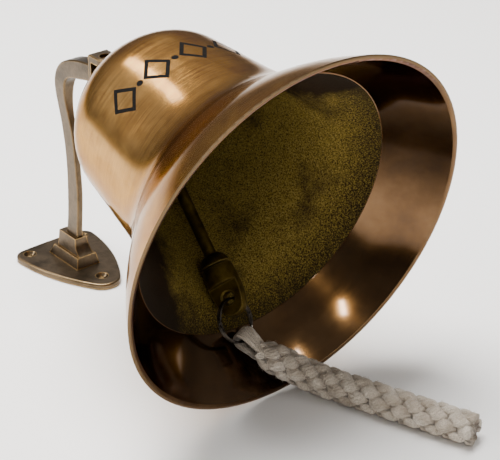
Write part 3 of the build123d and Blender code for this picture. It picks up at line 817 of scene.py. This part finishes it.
# %% Four cords round the ring's wire
becket_place = 24.0             # degrees round the ring
cord_radius = 1.9 * MM
bow = 4.7 * MM                  # a cord's distance from the wire it goes round
reach_slack, bow_slack = 0.6 * MM, 0.3 * MM     # no two cords are quite alike
closing = 0.45                  # how far the legs draw together where they enter the plait
straight_steps, bend_steps = 10, 14
wire_spot = ring_centre + ring_direction(becket_place) * ring_radius
wire_dir = (ring_direction(becket_place + 1) - ring_direction(becket_place - 1)).normalized()
pull_head = at_mm(*route_mm[0])
to_head = pull_head - wire_spot
leg_dir = (to_head - wire_dir * to_head.dot(wire_dir)).normalized()
across_dir = wire_dir.cross(leg_dir)
leg = to_head.length + 6.5 * MM
becket_bundles = []
for number, offset in enumerate((-0.0040, -0.0013, 0.0014, 0.0040)):
    rings = []
    reach = leg + dice.uniform(-reach_slack, reach_slack)
    loose = bow + dice.uniform(0.0, bow_slack)
    # Down one leg, half a turn round the wire, and back up the other leg.
    stations = [(1, reach * (1 - i / straight_steps)) for i in range(straight_steps)]
    stations += [(0, math.pi * i / bend_steps) for i in range(bend_steps + 1)]
    stations += [(-1, reach * (i + 1) / straight_steps) for i in range(straight_steps)]
    spots = []
    for side_sign, value in stations:
        drawn_in = 1.0
        if side_sign:
            drawn_in = 1 - closing * value / reach
            sideways_by, along_by = side_sign * loose * drawn_in, value
        else:
            sideways_by, along_by = loose * math.cos(value), -loose * math.sin(value)
        spot = wire_spot + across_dir * sideways_by + leg_dir * along_by
        spots.append(spot + wire_dir * offset * drawn_in)
    for i, spot in enumerate(spots):
        ahead_spot, behind_spot = spots[min(i + 1, len(spots) - 1)], spots[max(i - 1, 0)]
        run_dir = (ahead_spot - behind_spot).normalized()
        outward = run_dir.cross(wire_dir).normalized()
        wide = run_dir.cross(outward) * cord_radius
        # The becket's cords take a quarter of the painted shade all along.
        rings.append((spot, wide, outward * cord_radius, 0.25))
    becket_bundles.append(rings)
becket = make_object("becket_cords", tube_mesh(becket_bundles), cotton)
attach(becket, "bell_pull")
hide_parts("lanyard_becket")
print("becket:", len(becket_bundles), "cords")

# %% [markdown]
# ## Floor and light
# A plain pale floor runs past the camera's view. Polished metal shows whatever stands round it.
# Two big soft panels light the object. Two small ones in front are there for the window-like
# glints in the flare, and a faintly warm one stands behind.

# %% Floor
floor_mesh = bpy.data.meshes.new("floor")
half, drop = 6.0, -0.6 * MM     # just under the plate, so that the two never share a plane
outline = [(-half, -half, drop), (half, -half, drop), (half, half, drop), (-half, half, drop)]
floor_mesh.from_pydata(outline, [], [(0, 1, 2, 3)])
floor = bpy.data.objects.new("floor", floor_mesh)
bpy.context.scene.collection.objects.link(floor)
# Paper: matt, and a touch warmer than white.
floor_paint, tree, sockets = new_material("matt_white_paper", Base_Color="F8F6F3", Roughness=0.7)
floor_mesh.materials.append(floor_paint)


# %% Soft light panels
def panel(name, place, target, width, height, power, tint="FFFFFF"):
    """A rectangular soft light at a place, aimed at a target, in metres and watts."""
    light = bpy.data.lights.new(name, "AREA")
    light.shape = "RECTANGLE"
    light.size, light.size_y = width, height
    light.energy = power
    light.color = hex_colour(tint)[:3]
    holder = bpy.data.objects.new(name, light)
    holder.location = place
    holder.rotation_euler = (Vector(target) - Vector(place)).to_track_quat("-Z", "Y").to_euler()
    bpy.context.scene.collection.objects.link(holder)


panel("overhead_panel", (-0.25, -0.1, 1.9), (0.15, 0, 0.1), 1.4, 1.2, 104)
panel("left_panel", (-0.9, -1.5, 0.9), (0.15, 0, 0.12), 0.5, 0.8, 24)
panel("front_panel", (1.97, -0.66, 1.10), (0.2, 0.05, 0.1), 0.10, 0.26, 6)
panel("window_panel", (1.77, 0.42, 1.52), (0.2, 0, 0.05), 0.07, 0.20, 2.6)
panel("skylight_panel", (-1.35, -0.22, 1.72), (0.15, 0, 0.15), 0.34, 0.40, 4.5, "FFF4E4")

# %% The room round the object
# The ceiling is bright, the walls are dimmer, and the room in front of the bell is dimmest,
# which is what keeps the polished flare dark while the outside shines.
world = bpy.data.worlds.new("studio_room")
bpy.context.scene.world = world
world.use_nodes = True
room = world.node_tree
room.nodes.clear()
direction = add_node(room, "ShaderNodeTexCoord", out="Generated")
parts = add_node(room, "ShaderNodeSeparateXYZ", {0: direction}, out=None).outputs
frontward, skyward = parts["X"], parts["Z"]
dimmed = add_node(
    room, "ShaderNodeMapRange", {0: frontward, 1: -0.35, 2: 0.55, 3: 1.0, 4: 0.42}
)
raised = add_node(
    room, "ShaderNodeMapRange", {0: skyward, 1: 0.08, 2: 0.62, 3: 0.36, 4: 1.05}
)
strength = add_node(room, "ShaderNodeMath", {0: dimmed, 1: raised}, operation="MULTIPLY")
surround = add_node(room, "ShaderNodeBackground", {"Color": "DAD6D2", "Strength": strength})
add_node(room, "ShaderNodeOutputWorld", {"Surface": surround}, out=None)
